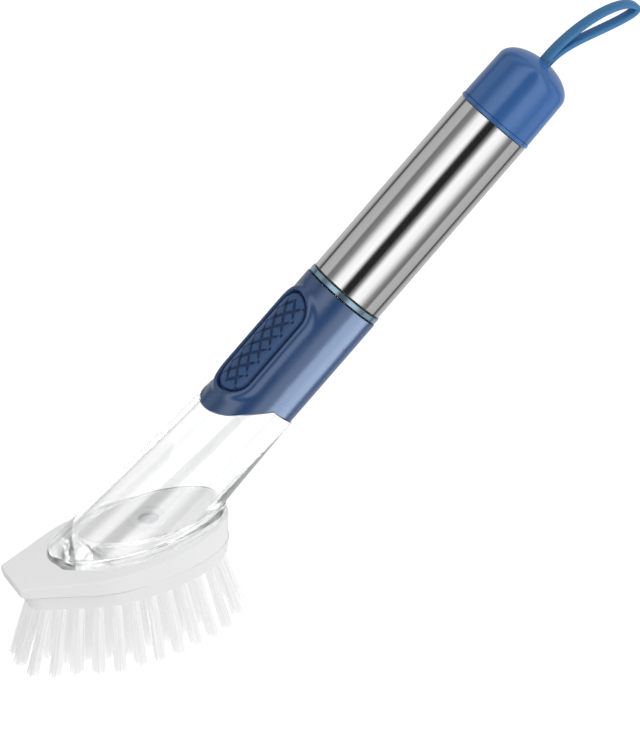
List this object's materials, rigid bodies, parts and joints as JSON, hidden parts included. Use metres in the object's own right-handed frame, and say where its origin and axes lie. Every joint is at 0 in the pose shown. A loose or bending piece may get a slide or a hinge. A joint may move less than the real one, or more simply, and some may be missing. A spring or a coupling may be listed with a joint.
{
  "type": "dish brush",
  "caption": "Soap-dispensing dish brush: angled oval head with a scraper nose, flared clear neck, thumb pad, round steel-sleeved handle and a screw cap with a hanging strap.",
  "frame": {"origin": "middle of the underside of the brush's box, at the height of the lowest bristle tips", "axes": "+X along the handle from the head to the cap, +Z the side the thumb pad faces, +Y across the brush"},
  "size_m": [0.3524, 0.0456, 0.1001],
  "materials": {
    "cap_gloss_blue": "glossy moulded polypropylene",
    "grip_satin_blue": "satin moulded plastic",
    "pad_silicone": "matte silicone",
    "strap_silicone": "satin silicone",
    "ring_pale_blue": "translucent glossy plastic",
    "polished_steel": "polished stainless steel",
    "clear_plastic": "clear moulded plastic",
    "white_plastic": "smooth moulded plastic",
    "nylon_bristle": "translucent extruded nylon",
    "frosted_plastic": "translucent moulded plastic",
    "seal_silicone": "soft silicone"
  },
  "bodies": {
    "handle": {"steel_sleeve": "polished_steel", "trim_ring": "ring_pale_blue", "reservoir_tube": "frosted_plastic", "reservoir_o_ring": "seal_silicone", "grip_shell": "grip_satin_blue", "pad_membrane": "pad_silicone", "clear_neck": "clear_plastic", "valve_plate": "clear_plastic", "slit_valve": "seal_silicone", "valve_retainer": "white_plastic"},
    "seal": {"cap_seal": "seal_silicone"},
    "cap": {"end_cap": "cap_gloss_blue", "cap_liner": "white_plastic", "hanging_strap": "strap_silicone"},
    "pad": {"thumb_pad": "pad_silicone"},
    "head": {"head_shell": "white_plastic", "bristle_plate": "white_plastic", "bristle_field": "nylon_bristle"}
  },
  "joints": [
    {"name": "pad_press", "type": "slide", "parent": "handle", "child": "pad", "axis": [0, 0, -1], "range_m": [0, 0.002], "stiffness_N_per_m": 900},
    {"name": "cap_lift", "type": "slide", "parent": "handle", "child": "seal", "axis": [1, 0, 0], "range_m": [0, 0.009]},
    {"name": "cap_turn", "type": "hinge", "parent": "seal", "child": "cap", "pos_m": [-0.10612, 0, 0.06612], "axis": [1, 0, 0], "range_deg": [0, 540]},
    {"name": "head_release", "type": "slide", "parent": "handle", "child": "head", "axis": [-0.6361, 0, -0.7716], "range_m": [0, 0.012]}
  ],
  "couplings": [
    {"joint": "cap_turn", "follows": "cap_lift", "rad_per_m": 1047.2}
  ]
}
